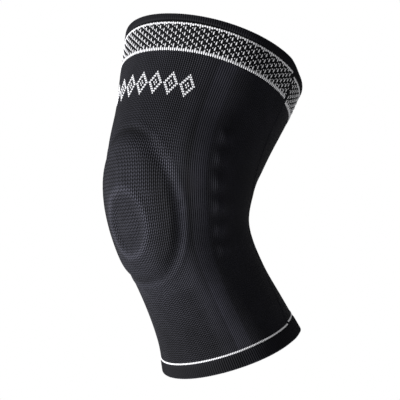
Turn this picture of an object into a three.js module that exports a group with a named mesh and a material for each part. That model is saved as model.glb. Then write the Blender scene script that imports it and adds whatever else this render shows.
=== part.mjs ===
// A pull-on knee sleeve in the shape it takes on a slightly bent leg: a knitted tube with a folded hem
// at each end, a patterned grip band between two white stripes under the thigh hem, a gel ring round
// the kneecap and a springy wave stay in a pocket down each side. The tube is knitted in zones: over
// the thigh, over the kneecap, round the back of the knee and over the calf.
//
// Millimetres and degrees. +Z is up, -Y is the front of the knee and +X is the outer side of the leg.
// The origin is the middle of the tube's centre line, inside the knee.
//
// A place on the sleeve is given by three numbers: the angle round the tube, 0 at the front and 90 on
// the outer side; the share of the way down the centre line, 0 at the thigh rim and 1 at the calf rim;
// and the lift, which is the distance out from the sleeve's smooth outer surface.

import * as THREE from 'three';

// Girths of the tube, across the leg and from front to back
const THIGH_WIDTH = 164;
const THIGH_DEPTH = 159;
const KNEE_WIDTH = 121;
const KNEE_DEPTH = 125;
const SHIN_WIDTH = 104;
const SHIN_DEPTH = 112;
const CALF_WIDTH = 127;
const CALF_DEPTH = 122;

// The centre line: its length and how far each half leans back from upright
const SLEEVE_LENGTH = 270;
const THIGH_LEAN = 23.7;
const CALF_LEAN = 25.9;
const BEND_AT = 0.44; // share of the length where the bend is sharpest
const BEND_RADIUS = 0.7 * KNEE_DEPTH; // any tighter and the hollow of the knee would fold over itself

// Fabric thickness and the heights of the bands, counted along the centre line
const KNIT_WALL = 2;
const HEM_WALL = 3.2;
const THIGH_HEM_HEIGHT = 7;
const UPPER_STRIPE_HEIGHT = 1.6;
const GRIP_BAND_HEIGHT = 20.8;
const LOWER_STRIPE_HEIGHT = 2.4;
const CALF_STRIPE_HEIGHT = 1.8;
const CALF_HEM_HEIGHT = 11.6;
const JOIN_GAP = 0.3; // between neighbouring pieces

// The raised egg shape over the gel ring, with a window over the kneecap. Widths are measured round
// the front of the knee.
const PAD_AT = 0.508; // share of the length at its middle
const PAD_HEIGHT = 87;
const PAD_WIDTH = 94;
const PAD_RISE = 4.5; // how far the fabric stands out over the ring
const PAD_BACKING = 1.2; // how far the ring stands in from the fabric's own inner face
const PAD_EDGE_ROUND = 1.6;
const WINDOW_HEIGHT = 32;
const WINDOW_WIDTH = 35.5;
const WINDOW_DROP = 4.2; // from the middle of the egg shape down to that of the window
const WINDOW_DIP = 2.2; // how far the fabric sinks towards the kneecap
const BEAD_HEIGHT = 0.9; // the fabric is raised in a bead round the window

// The stays: wavy strips whose crests press out through the knit
const STAY_ANGLE = 77;
const STAY_AT = 0.4875; // share of the length at its middle
const STAY_WIDTH = 10;
const STAY_THICKNESS = 1.2;
const STAY_LENGTH = 118;
const WAVE_PITCH = 16.9;
const WAVE_HEIGHT = 1.6;
const POCKET_WALL = 1;
const POCKET_WIDTH = 23.2;
const POCKET_END = 6; // how far the pocket runs on past each end of the stay

const BLACK_KNIT = { color: 0x1d1d20, roughness: 0.95, metalness: 0 };
const WHITE_KNIT = { color: 0xe9e9e6, roughness: 0.9, metalness: 0 };
const GRIP_KNIT = { color: 0x77777a, roughness: 0.92, metalness: 0 };
const GEL = { color: 0x2b2c30, roughness: 0.55, metalness: 0 };
const STAY_PLASTIC = { color: 0x45464a, roughness: 0.5, metalness: 0 };

// Sections of the smooth outer surface. side is a share of the zone's width, front and back are shares
// of its depth, all measured from the centre line.
const ZONES = {
  thigh: { width: THIGH_WIDTH, depth: THIGH_DEPTH },
  knee: { width: KNEE_WIDTH, depth: KNEE_DEPTH },
  shin: { width: SHIN_WIDTH, depth: SHIN_DEPTH },
  calf: { width: CALF_WIDTH, depth: CALF_DEPTH },
};
const SECTIONS = [
  { at: 0.0, zone: 'thigh', side: 0.5, front: 0.513, back: 0.5 },
  { at: 0.12, zone: 'thigh', side: 0.479, front: 0.467, back: 0.477 },
  { at: 0.26, zone: 'thigh', side: 0.421, front: 0.433, back: 0.448 },
  { at: 0.38, zone: 'knee', side: 0.536, front: 0.555, back: 0.523 },
  { at: 0.5, zone: 'knee', side: 0.5, front: 0.546, back: 0.455 },
  { at: 0.62, zone: 'shin', side: 0.502, front: 0.6, back: 0.414 },
  { at: 0.76, zone: 'shin', side: 0.496, front: 0.547, back: 0.44 },
  { at: 0.9, zone: 'calf', side: 0.447, front: 0.474, back: 0.473 },
  { at: 1.0, zone: 'calf', side: 0.5, front: 0.496, back: 0.508 },
];

const FULL_TURN = 360;
const radians = THREE.MathUtils.degToRad;
const clamp01 = (x) => THREE.MathUtils.clamp(x, 0, 1);

function smoothStep(x) {
  const t = clamp01(x);
  return t * t * (3 - 2 * t);
}

function bell(distance, spread) {
  return Math.exp(-((distance / spread) ** 2));
}

// The centre line

const LEAN_TOTAL = radians(THIGH_LEAN + CALF_LEAN);
const BEND_SPREAD = (BEND_RADIUS * LEAN_TOTAL) / (4 * SLEEVE_LENGTH);
const LINE_STEPS = 200;

// Angle of the centre line from straight down, positive where it runs towards the back
function leanAt(share) {
  const bent = 1 / (1 + Math.exp(-(share - BEND_AT) / BEND_SPREAD));
  return radians(-THIGH_LEAN) + LEAN_TOTAL * bent;
}

function makeCentreLine() {
  const step = SLEEVE_LENGTH / LINE_STEPS;
  const points = [{ y: 0, z: 0 }];
  for (let i = 0; i < LINE_STEPS; i += 1) {
    const lean = leanAt((i + 0.5) / LINE_STEPS);
    const last = points[i];
    points.push({ y: last.y + step * Math.sin(lean), z: last.z - step * Math.cos(lean) });
  }
  const middle = points[LINE_STEPS / 2];
  return points.map((p) => ({ y: p.y - middle.y, z: p.z - middle.z }));
}

const CENTRE_LINE = makeCentreLine();

// Past its ends the line runs straight on
function centreAt(share) {
  const along = share * LINE_STEPS;
  const i = THREE.MathUtils.clamp(Math.floor(along), 0, LINE_STEPS - 1);
  const t = along - i;
  const [a, b] = [CENTRE_LINE[i], CENTRE_LINE[i + 1]];
  return { y: a.y + (b.y - a.y) * t, z: a.z + (b.z - a.z) * t, lean: leanAt(share) };
}

// The sections, joined by smooth curves

const RADII = SECTIONS.map((row) => {
  const zone = ZONES[row.zone];
  const [front, back] = [row.front * zone.depth, row.back * zone.depth];
  return { at: row.at, side: row.side * zone.width, front, back };
});

function slopeAt(i, key) {
  const a = RADII[Math.max(i - 1, 0)];
  const b = RADII[Math.min(i + 1, RADII.length - 1)];
  return (b[key] - a[key]) / (b.at - a.at);
}

function radiusAt(share, key) {
  let i = 0;
  while (i < RADII.length - 2 && share > RADII[i + 1].at) i += 1;
  const [a, b] = [RADII[i], RADII[i + 1]];
  const length = b.at - a.at;
  const t = (share - a.at) / length;
  const ease = t * t * (3 - 2 * t);
  const leave = t * (1 - t) * (1 - t) * length * slopeAt(i, key);
  const arrive = t * t * (t - 1) * length * slopeAt(i + 1, key);
  return a[key] + (b[key] - a[key]) * ease + leave + arrive;
}

// The rims aren't quite level: how much a hem falls short of its height, as a share of that height, at
// angles from the front. Below 0 it reaches further out.
const RIM_SHORT = [
  { angle: -180, thigh: 0.5, calf: -0.15 },
  { angle: -110, thigh: 0.1, calf: 0 },
  { angle: -45, thigh: -0.17, calf: 0 },
  { angle: 20, thigh: 0.2, calf: -0.06 },
  { angle: 98, thigh: -0.05, calf: -0.1 },
  { angle: 118, thigh: 0.56, calf: -0.14 },
  { angle: 140, thigh: 0.68, calf: -0.3 },
  { angle: 180, thigh: 0.5, calf: -0.15 },
];

function rimShort(angle, key) {
  let i = 0;
  while (i < RIM_SHORT.length - 2 && angle > RIM_SHORT[i + 1].angle) i += 1;
  const [a, b] = [RIM_SHORT[i], RIM_SHORT[i + 1]];
  return a[key] + (b[key] - a[key]) * smoothStep((angle - a.angle) / (b.angle - a.angle));
}

// The share of the centre line where the fabric really lies: only the hems are drawn in or out
function settled(angle, share) {
  const thighHem = THIGH_HEM_HEIGHT / SLEEVE_LENGTH;
  const calfHem = CALF_HEM_HEIGHT / SLEEVE_LENGTH;
  const inThighHem = Math.max(thighHem - share, 0) * rimShort(angle, 'thigh');
  const inCalfHem = Math.max(share - 1 + calfHem, 0) * rimShort(angle, 'calf');
  return share + inThighHem - inCalfHem;
}

const HALF_TURN = FULL_TURN / 2;
const fromFront = (angle) => (angle > HALF_TURN ? angle - FULL_TURN : angle);

// Turns angle, share and lift into a point in space
function place(angle, evenShare, lift) {
  const turn = radians(angle);
  const share = settled(fromFront(angle), evenShare);
  const centre = centreAt(share);
  const depth = radiusAt(share, Math.cos(turn) > 0 ? 'front' : 'back');
  const across = (radiusAt(share, 'side') + lift) * Math.sin(turn);
  const forward = (depth + lift) * Math.cos(turn);
  return [across, centre.y - forward * Math.cos(centre.lean), centre.z - forward * Math.sin(centre.lean)];
}

// A length as a share of the centre line, and a width as an angle at the front of the knee
const shareOf = (length) => length / SLEEVE_LENGTH;
const angleOf = (width) => THREE.MathUtils.radToDeg(width / radiusAt(PAD_AT, 'side'));

const STAY_HALF_ANGLE = angleOf(STAY_WIDTH / 2);
const POCKET_HALF_ANGLE = angleOf(POCKET_WIDTH / 2);

// Relief: where the fabric stands out from its smooth surface. An egg's roundness is 2 for an ellipse,
// and more is squarer.

const PAD_SHAPE = {
  middle: PAD_AT,
  halfHeight: shareOf(PAD_HEIGHT / 2),
  halfAngle: angleOf(PAD_WIDTH / 2),
  upper: 1.9,
  lower: 2.5,
};
const WINDOW_SHAPE = {
  middle: PAD_AT + shareOf(WINDOW_DROP),
  halfHeight: shareOf(WINDOW_HEIGHT / 2),
  halfAngle: angleOf(WINDOW_WIDTH / 2),
  upper: 2,
  lower: 2,
};

// Where the relief lies, in multiples of the size of its egg shape
const PAD_SLOPE = { from: 1.04, width: 0.26 };
const PAD_SKIRT = 1.22; // past this the fabric is smooth again
const WINDOW_SLOPE = { from: 1, width: 0.3 };
const WINDOW_BEAD = { at: 1.15, spread: 0.16 };
const WINDOW_SKIRT = 1.5;
const GEL_HOLE = 1.16; // the gel starts outside the window
const GEL_RIM = 0.78; // and ends inside the raised shape, which the knit rounds off

// 0 at the middle of an egg shape and 1 on its outline
function eggMeasure(shape, angle, share) {
  const u = Math.abs(angle) / shape.halfAngle;
  const w = (share - shape.middle) / shape.halfHeight;
  const n = w < 0 ? shape.upper : shape.lower;
  return (u ** n + Math.abs(w) ** n) ** (1 / n);
}

// The place on an egg's outline, or at a multiple of its size, in a direction counted from the +X side
function eggPoint(shape, direction, size) {
  const [c, s] = [Math.cos(direction), Math.sin(direction)];
  const n = s < 0 ? shape.upper : shape.lower;
  const reach = size / (Math.abs(c) ** n + Math.abs(s) ** n) ** (1 / n);
  return { angle: shape.halfAngle * reach * c, share: shape.middle + shape.halfHeight * reach * s };
}

// How far the knit is pushed out over the gel ring and let in over its window
function ringRise(angle, share) {
  const inPad = (PAD_SLOPE.from - eggMeasure(PAD_SHAPE, angle, share)) / PAD_SLOPE.width;
  const inWindow = (WINDOW_SLOPE.from - eggMeasure(WINDOW_SHAPE, angle, share)) / WINDOW_SLOPE.width;
  return PAD_RISE * smoothStep(inPad) - WINDOW_DIP * smoothStep(inWindow);
}

// The knit's own bead round the window
function ringTrim(angle, share) {
  const fromBead = eggMeasure(WINDOW_SHAPE, angle, share) - WINDOW_BEAD.at;
  return BEAD_HEIGHT * bell(fromBead, WINDOW_BEAD.spread);
}

// The wave of a stay along its length, fading out at its ends
function stayWave(share) {
  const along = (share - STAY_AT) * SLEEVE_LENGTH;
  const fade = smoothStep((STAY_LENGTH / 2 - Math.abs(along)) / WAVE_PITCH);
  const crest = 0.5 - 0.5 * Math.cos((2 * Math.PI * along) / WAVE_PITCH);
  return WAVE_HEIGHT * crest * fade;
}

// The knit lies flat on the stay and slopes off to the pocket's edges
function stayRelief(angle, share) {
  const aside = Math.abs(Math.abs(angle) - STAY_ANGLE);
  const across = clamp01((POCKET_HALF_ANGLE - aside) / (POCKET_HALF_ANGLE - STAY_HALF_ANGLE));
  return stayWave(share) * across;
}

function fabricRelief(angle, share) {
  return ringRise(angle, share) + ringTrim(angle, share) + stayRelief(angle, share);
}

// Closed solids

// Joins rows of points into one closed body. Every row is a closed loop. The last row joins the first
// one again, or both are capped. A capped loop runs out along one side and back along the other.
function closedBody(rows, capped) {
  const positions = rows.flat(2);
  const indices = [];
  const [n, m] = [rows.length, rows[0].length];
  for (let i = 0; i < (capped ? n - 1 : n); i += 1) {
    for (let j = 0; j < m; j += 1) {
      const down = (i + 1) % n;
      const next = (j + 1) % m;
      const [a, b, c, d] = [i * m + j, down * m + j, down * m + next, i * m + next];
      indices.push(a, b, c, a, c, d);
    }
  }
  const last = (n - 1) * m;
  for (let j = 0; capped && j < m / 2 - 1; j += 1) {
    const [p, q, r, s] = [j, j + 1, m - 2 - j, m - 1 - j];
    indices.push(p, q, r, p, r, s);
    indices.push(last + p, last + r, last + q, last + p, last + s, last + r);
  }
  const geometry = new THREE.BufferGeometry();
  geometry.setAttribute('position', new THREE.Float32BufferAttribute(positions, 3));
  geometry.setIndex(indices);
  geometry.computeVertexNormals();
  return geometry;
}

function piece(name, geometry, finish) {
  const mesh = new THREE.Mesh(geometry, new THREE.MeshStandardMaterial(finish));
  mesh.name = name;
  return mesh;
}

// Evenly spaced values, without the last one
function span(from, to, count) {
  return Array.from({ length: count }, (_, i) => from + ((to - from) * i) / count);
}

// Columns of points, as angles from the front round one side to the back: close together over the
// window and the stays, wider at the back
const WINDOW_EDGE = WINDOW_SKIRT * WINDOW_SHAPE.halfAngle;
const PAD_EDGE = PAD_SKIRT * PAD_SHAPE.halfAngle;
const WINDOW_COLUMNS = 6;
const PAD_COLUMNS = 4;
const BACK_COLUMNS = 6;
const STAY_COLUMNS = [-POCKET_HALF_ANGLE, -STAY_HALF_ANGLE, 0, STAY_HALF_ANGLE, POCKET_HALF_ANGLE];
const SIDE_ANGLES = [
  ...span(0, WINDOW_EDGE, WINDOW_COLUMNS),
  ...span(WINDOW_EDGE, PAD_EDGE, PAD_COLUMNS),
  PAD_EDGE,
  ...STAY_COLUMNS.map((aside) => STAY_ANGLE + aside),
  ...span(STAY_ANGLE + POCKET_HALF_ANGLE, HALF_TURN, BACK_COLUMNS).slice(1),
].sort((a, b) => a - b);

// The same on both sides, from the front all the way round
const ANGLES = [
  ...SIDE_ANGLES,
  HALF_TURN,
  ...SIDE_ANGLES.slice(1).reverse().map((angle) => FULL_TURN - angle),
];

// The fabric's cross-section: down the outside and up the inside
function knitProfile(shares) {
  const outside = shares.map((share) => ({ share, lift: 0 }));
  const inside = [...shares].reverse().map((share) => ({ share, lift: -KNIT_WALL }));
  return [...outside, ...inside];
}

function fabricPoint(angle, p) {
  const around = fromFront(angle);
  return place(around, p.share, p.lift + fabricRelief(around, p.share));
}

// A ring of fabric swept round the tube
function ring(name, profile, finish) {
  const rows = profile.map((p) => ANGLES.map((angle) => fabricPoint(angle, p)));
  return piece(name, closedBody(rows, false), finish);
}

// A panel of fabric that goes only part of the way round
function panel(name, shares, angles, finish) {
  const profile = knitProfile(shares).reverse();
  const rows = angles.map((angle) => profile.map((p) => fabricPoint(angle, p)));
  return piece(name, closedBody(rows, true), finish);
}

// A folded hem: thicker than the knit, with a rounded edge at the rim. A row's place is counted from
// the rim in halves of the hem's thickness and shares of its height, its bulge in such halves.
const HEM_PROFILE = [
  { halves: 0.25, height: 0, bulge: 0.7 },
  { halves: 1, height: 0, bulge: 1 },
  { halves: 0, height: 0.6, bulge: 1 },
  { halves: 0, height: 1, bulge: 0.8 },
];

function hem(name, rim, inner, finish) {
  const height = inner - rim;
  const middle = -KNIT_WALL / 2;
  const half = (Math.sign(height) * HEM_WALL) / 2;
  const side = (p, sign) => ({
    share: rim + p.halves * shareOf(half) + p.height * height,
    lift: middle + sign * p.bulge * half,
  });
  const outside = HEM_PROFILE.map((p) => side(p, 1));
  const inside = HEM_PROFILE.map((p) => side(p, -1)).reverse();
  return ring(name, [{ share: rim, lift: middle }, ...outside, ...inside], finish);
}

// Where each band starts and ends, worked out from the rims towards the knee
const THIGH_HEM_END = shareOf(THIGH_HEM_HEIGHT);
const UPPER_STRIPE_START = THIGH_HEM_END + shareOf(JOIN_GAP);
const UPPER_STRIPE_END = UPPER_STRIPE_START + shareOf(UPPER_STRIPE_HEIGHT);
const GRIP_BAND_START = UPPER_STRIPE_END + shareOf(JOIN_GAP);
const GRIP_BAND_END = GRIP_BAND_START + shareOf(GRIP_BAND_HEIGHT);
const LOWER_STRIPE_START = GRIP_BAND_END + shareOf(JOIN_GAP);
const LOWER_STRIPE_END = LOWER_STRIPE_START + shareOf(LOWER_STRIPE_HEIGHT);
const TUBE_START = LOWER_STRIPE_END + shareOf(JOIN_GAP);
const CALF_HEM_START = 1 - shareOf(CALF_HEM_HEIGHT);
const CALF_STRIPE_END = CALF_HEM_START - shareOf(JOIN_GAP);
const CALF_STRIPE_START = CALF_STRIPE_END - shareOf(CALF_STRIPE_HEIGHT);
const TUBE_END = CALF_STRIPE_START - shareOf(JOIN_GAP);

// Rows of the tube: on the crests and hollows of the stays' wave and a quarter wave between them, and
// wider apart above and below
const QUARTER_WAVE = shareOf(WAVE_PITCH) / 4;
const WAVE_ROWS = Math.floor(STAY_LENGTH / WAVE_PITCH) * 2 + 1;
const WAVE_REACH = WAVE_ROWS * QUARTER_WAVE;
const ROWS_ABOVE = 4;
const ROWS_BELOW = 5;
const TUBE_ROWS = [
  ...span(TUBE_START, STAY_AT - WAVE_REACH, ROWS_ABOVE),
  ...span(STAY_AT - WAVE_REACH, STAY_AT + WAVE_REACH, 2 * WAVE_ROWS),
  ...span(STAY_AT + WAVE_REACH, TUBE_END, ROWS_BELOW),
];

// The rows between two shares, with these at the ends and none close to them
function rowsBetween(from, to) {
  const clear = QUARTER_WAVE / 2;
  return [from, ...TUBE_ROWS.filter((share) => share > from + clear && share < to - clear), to];
}

// The zones of the tube: the kneecap panel reaches as far as the relief round the gel ring
const KNEE_START = PAD_AT - PAD_SKIRT * PAD_SHAPE.halfHeight;
const KNEE_END = PAD_AT + PAD_SKIRT * PAD_SHAPE.halfHeight;
const HALF_GAP = shareOf(JOIN_GAP / 2);
const HALF_GAP_ANGLE = angleOf(JOIN_GAP / 2);
const PANEL_ROWS = 20;

function kneecapPanel() {
  const [from, to] = [KNEE_START + HALF_GAP, KNEE_END - HALF_GAP];
  const edge = PAD_EDGE - HALF_GAP_ANGLE;
  const inner = SIDE_ANGLES.filter((angle) => angle < edge);
  const left = inner.slice(1).reverse().map((angle) => -angle);
  const angles = [-edge, ...left, ...inner, edge];
  return panel('kneecap_panel', [...span(from, to, PANEL_ROWS), to], angles, BLACK_KNIT);
}

function kneeBackPanel() {
  const shares = rowsBetween(KNEE_START + HALF_GAP, KNEE_END - HALF_GAP);
  const edge = PAD_EDGE + HALF_GAP_ANGLE;
  const inner = ANGLES.filter((angle) => angle > edge && angle < FULL_TURN - edge);
  return panel('knee_back_panel', shares, [edge, ...inner, FULL_TURN - edge], BLACK_KNIT);
}

// The gel ring, between the knit over it and the leg. Its profile goes from the window out along the
// front face and back along the one against the leg: out is a share of the way from hole to rim, and
// front is 0 on the leg's side and 1 on the knit's.
const GEL_PROFILE = [
  { out: 0.0, front: 0.5, round: 0 },
  { out: 0.0, front: 1, round: PAD_EDGE_ROUND },
  { out: 0.12, front: 1, round: 0 },
  { out: 0.5, front: 1, round: 0 },
  { out: 0.82, front: 1, round: 0 },
  { out: 1.0, front: 1, round: PAD_EDGE_ROUND },
  { out: 1.0, front: 0.4, round: 0 },
  { out: 0.92, front: 0, round: 0 },
  { out: 0.5, front: 0, round: 0 },
  { out: 0.08, front: 0, round: 0 },
];
const GEL_COLUMNS = 36;

function gelPoint(p, direction) {
  const hole = eggPoint(WINDOW_SHAPE, direction, GEL_HOLE);
  const rim = eggPoint(PAD_SHAPE, direction, GEL_RIM);
  const angle = hole.angle + (rim.angle - hole.angle) * p.out;
  const share = hole.share + (rim.share - hole.share) * p.out;
  const outer = ringRise(angle, share) - KNIT_WALL - JOIN_GAP - p.round;
  const inner = -KNIT_WALL - PAD_BACKING;
  return place(angle, share, inner + (outer - inner) * p.front);
}

function gelRing() {
  const directions = span(2 * Math.PI, 0, GEL_COLUMNS);
  const rows = GEL_PROFILE.map((p) => directions.map((direction) => gelPoint(p, direction)));
  return piece('patella_pad', closedBody(rows, false), GEL);
}

// A strip down one side, on the same rows as the knit so that it lies evenly under it. Its columns give
// an angle and a lift on the outer face, and the inner face lies a thickness below them.
function strip(name, side, reach, columns, thickness, finish) {
  const rows = rowsBetween(STAY_AT - shareOf(reach), STAY_AT + shareOf(reach)).map((share) => {
    const outer = columns.map((c) => place(side * c.angle, share, c.lift(share)));
    const inner = columns.map((c) => place(side * c.angle, share, c.lift(share) - thickness));
    const row = [...outer, ...inner.reverse()];
    return side > 0 ? row : row.reverse();
  });
  return piece(name, closedBody(rows, true), finish);
}

function stay(name, side) {
  const lift = (share) => stayWave(share) - KNIT_WALL - JOIN_GAP;
  const asides = [-STAY_HALF_ANGLE, 0, STAY_HALF_ANGLE];
  const columns = asides.map((aside) => ({ angle: STAY_ANGLE + aside, lift }));
  return strip(name, side, STAY_LENGTH / 2, columns, STAY_THICKNESS, STAY_PLASTIC);
}

// The knitted pocket on the inner face, which holds the stay against the wall. Its columns are shares
// of its half width: sewn down at the edges and lifted over the stay between them.
const POCKET_COLUMNS = [
  { across: -0.955, sewn: true },
  { across: -0.62, sewn: false },
  { across: 0, sewn: false },
  { across: 0.62, sewn: false },
  { across: 0.955, sewn: true },
];

function pocket(name, side) {
  const onWall = () => -KNIT_WALL - JOIN_GAP;
  const overStay = (share) => stayWave(share) + onWall() - STAY_THICKNESS - JOIN_GAP;
  const columns = POCKET_COLUMNS.map((column) => ({
    angle: STAY_ANGLE + column.across * POCKET_HALF_ANGLE,
    lift: column.sewn ? onWall : overStay,
  }));
  return strip(name, side, STAY_LENGTH / 2 + POCKET_END, columns, POCKET_WALL, BLACK_KNIT);
}

const GRIP_BAND_MIDDLE = (GRIP_BAND_START + GRIP_BAND_END) / 2;
const band = (name, shares, finish) => ring(name, knitProfile(shares), finish);

const sleeve = new THREE.Group();
sleeve.name = 'knee_sleeve';
sleeve.add(
  hem('thigh_hem', 0, THIGH_HEM_END, BLACK_KNIT),
  band('upper_stripe', [UPPER_STRIPE_START, UPPER_STRIPE_END], WHITE_KNIT),
  band('grip_band', [GRIP_BAND_START, GRIP_BAND_MIDDLE, GRIP_BAND_END], GRIP_KNIT),
  band('lower_stripe', [LOWER_STRIPE_START, LOWER_STRIPE_END], WHITE_KNIT),
  band('thigh_tube', rowsBetween(TUBE_START, KNEE_START - HALF_GAP), BLACK_KNIT),
  kneecapPanel(),
  kneeBackPanel(),
  band('calf_tube', rowsBetween(KNEE_END + HALF_GAP, TUBE_END), BLACK_KNIT),
  band('calf_stripe', [CALF_STRIPE_START, CALF_STRIPE_END], WHITE_KNIT),
  hem('calf_hem', 1, CALF_HEM_START, BLACK_KNIT),
  gelRing(),
  stay('outer_stay', 1),
  stay('inner_stay', -1),
  pocket('outer_stay_pocket', 1),
  pocket('inner_stay_pocket', -1),
);

export default sleeve;
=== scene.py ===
"""Dresses the knee sleeve: fine knitted meshes, stitches, seam, materials, light and camera.

Metres and degrees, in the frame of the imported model: +Z up, -Y the front of the knee, +X the outer
side of the leg. A place on the sleeve is an angle round the tube, 0 at the front and 90 on the outer
side, a share of the way down the centre line, and a lift out from the smooth outer surface.
"""
import math

import bpy
import numpy as np
from mathutils import Matrix


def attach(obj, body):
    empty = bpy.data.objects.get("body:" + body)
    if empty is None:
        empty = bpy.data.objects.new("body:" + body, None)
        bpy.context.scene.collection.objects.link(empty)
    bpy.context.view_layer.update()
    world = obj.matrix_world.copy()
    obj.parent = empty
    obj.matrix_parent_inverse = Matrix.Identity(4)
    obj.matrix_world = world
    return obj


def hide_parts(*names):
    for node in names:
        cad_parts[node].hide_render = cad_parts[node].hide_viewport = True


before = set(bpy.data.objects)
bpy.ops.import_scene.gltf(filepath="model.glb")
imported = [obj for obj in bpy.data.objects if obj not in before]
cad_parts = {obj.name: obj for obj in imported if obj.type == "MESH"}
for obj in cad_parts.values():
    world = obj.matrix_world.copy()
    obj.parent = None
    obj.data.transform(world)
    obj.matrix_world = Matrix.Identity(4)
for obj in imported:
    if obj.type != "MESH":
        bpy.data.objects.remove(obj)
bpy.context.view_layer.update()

MM = 0.001

# Sizes of the sleeve, as in the solids
THIGH_WIDTH = 164 * MM
THIGH_DEPTH = 159 * MM
KNEE_WIDTH = 121 * MM
KNEE_DEPTH = 125 * MM
SHIN_WIDTH = 104 * MM
SHIN_DEPTH = 112 * MM
CALF_WIDTH = 127 * MM
CALF_DEPTH = 122 * MM
SLEEVE_LENGTH = 270 * MM
THIGH_LEAN = math.radians(23.7)
CALF_LEAN = math.radians(25.9)
BEND_AT = 0.44
BEND_RADIUS = 0.7 * KNEE_DEPTH
KNIT_WALL = 2 * MM
HEM_WALL = 3.2 * MM
THIGH_HEM_HEIGHT = 7 * MM
UPPER_STRIPE_HEIGHT = 1.6 * MM
GRIP_BAND_HEIGHT = 20.8 * MM
LOWER_STRIPE_HEIGHT = 2.4 * MM
CALF_STRIPE_HEIGHT = 1.8 * MM
CALF_HEM_HEIGHT = 11.6 * MM
JOIN_GAP = 0.3 * MM
PAD_AT = 0.508
PAD_HEIGHT = 87 * MM
PAD_WIDTH = 94 * MM
PAD_RISE = 4.5 * MM
PAD_BACKING = 1.2 * MM
WINDOW_HEIGHT = 32 * MM
WINDOW_WIDTH = 35.5 * MM
WINDOW_DROP = 4.2 * MM
WINDOW_DIP = 2.2 * MM
BEAD_HEIGHT = 0.9 * MM
STAY_ANGLE = 77
STAY_AT = 0.4875
STAY_WIDTH = 10 * MM
STAY_THICKNESS = 1.2 * MM
STAY_LENGTH = 118 * MM
WAVE_PITCH = 16.9 * MM
WAVE_HEIGHT = 1.6 * MM
POCKET_WALL = 1 * MM
POCKET_WIDTH = 23.2 * MM
POCKET_END = 6 * MM

# Sections of the smooth outer surface: place, zone, and shares of its width and depth
ZONES = {
    "thigh": (THIGH_WIDTH, THIGH_DEPTH),
    "knee": (KNEE_WIDTH, KNEE_DEPTH),
    "shin": (SHIN_WIDTH, SHIN_DEPTH),
    "calf": (CALF_WIDTH, CALF_DEPTH),
}
SECTIONS = [
    {"at": 0.0, "zone": "thigh", "side": 0.5, "front": 0.513, "back": 0.5},
    {"at": 0.12, "zone": "thigh", "side": 0.479, "front": 0.467, "back": 0.477},
    {"at": 0.26, "zone": "thigh", "side": 0.421, "front": 0.433, "back": 0.448},
    {"at": 0.38, "zone": "knee", "side": 0.536, "front": 0.555, "back": 0.523},
    {"at": 0.5, "zone": "knee", "side": 0.5, "front": 0.546, "back": 0.455},
    {"at": 0.62, "zone": "shin", "side": 0.502, "front": 0.6, "back": 0.414},
    {"at": 0.76, "zone": "shin", "side": 0.496, "front": 0.547, "back": 0.44},
    {"at": 0.9, "zone": "calf", "side": 0.447, "front": 0.474, "back": 0.473},
    {"at": 1.0, "zone": "calf", "side": 0.5, "front": 0.496, "back": 0.508},
]

# The knit
WALES = 240  # columns of stitches round the tube, with one column of faces for each
COURSES = 160  # rows of stitches down the tube
HEM_COURSES = 1.6 * COURSES  # as many rows as a whole tube of the hem's finer knit would have
FULL_TURN = 360  # degrees


# The smooth tube

def share_of(length):
    """A length down the sleeve, as a share of the whole."""
    return length / SLEEVE_LENGTH


def smooth_step(x):
    """0 below 0, 1 above 1, and a smooth rise between."""
    t = np.clip(x, 0, 1)
    return t * t * (3 - 2 * t)


def bell(distance, spread):
    """1 where the distance is 0, and close to 0 from two spreads on."""
    return np.exp(-((distance / spread) ** 2))


LEAN_TOTAL = THIGH_LEAN + CALF_LEAN
BEND_SPREAD = BEND_RADIUS * LEAN_TOTAL / (4 * SLEEVE_LENGTH)
LINE_STEPS = 200


def lean_at(share):
    """Angle of the centre line from straight down, positive where it runs towards the back."""
    return -THIGH_LEAN + LEAN_TOTAL / (1 + np.exp(-(share - BEND_AT) / BEND_SPREAD))


def make_centre_line():
    """Heights and depths of the centre line at even steps, with its middle at the origin."""
    step = SLEEVE_LENGTH / LINE_STEPS
    lean = lean_at((np.arange(LINE_STEPS) + 0.5) / LINE_STEPS)
    y = np.concatenate([[0], np.cumsum(step * np.sin(lean))])
    z = np.concatenate([[0], -np.cumsum(step * np.cos(lean))])
    middle = LINE_STEPS // 2
    return y - y[middle], z - z[middle]


LINE_Y, LINE_Z = make_centre_line()
SECTION_AT = np.array([row["at"] for row in SECTIONS])
RADII = {
    "side": np.array([row["side"] * ZONES[row["zone"]][0] for row in SECTIONS]),
    "front": np.array([row["front"] * ZONES[row["zone"]][1] for row in SECTIONS]),
    "back": np.array([row["back"] * ZONES[row["zone"]][1] for row in SECTIONS]),
}


def section_slopes(values):
    """Slope of a radius at each section, from the sections beside it."""
    last = len(SECTION_AT) - 1
    before = np.maximum(np.arange(last + 1) - 1, 0)
    after = np.minimum(np.arange(last + 1) + 1, last)
    return (values[after] - values[before]) / (SECTION_AT[after] - SECTION_AT[before])


SLOPES = {key: section_slopes(values) for key, values in RADII.items()}


def radius_at(share, key):
    """Radius of the smooth tube on one side at these shares."""
    share = np.asarray(share, float)
    i = np.clip(np.searchsorted(SECTION_AT, share, side="left") - 1, 0, len(SECTION_AT) - 2)
    values, slopes = RADII[key], SLOPES[key]
    length = SECTION_AT[i + 1] - SECTION_AT[i]
    t = (share - SECTION_AT[i]) / length
    ease = t * t * (3 - 2 * t)
    leave = t * (1 - t) ** 2 * length * slopes[i]
    arrive = t * t * (t - 1) * length * slopes[i + 1]
    return values[i] + (values[i + 1] - values[i]) * ease + leave + arrive


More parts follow.
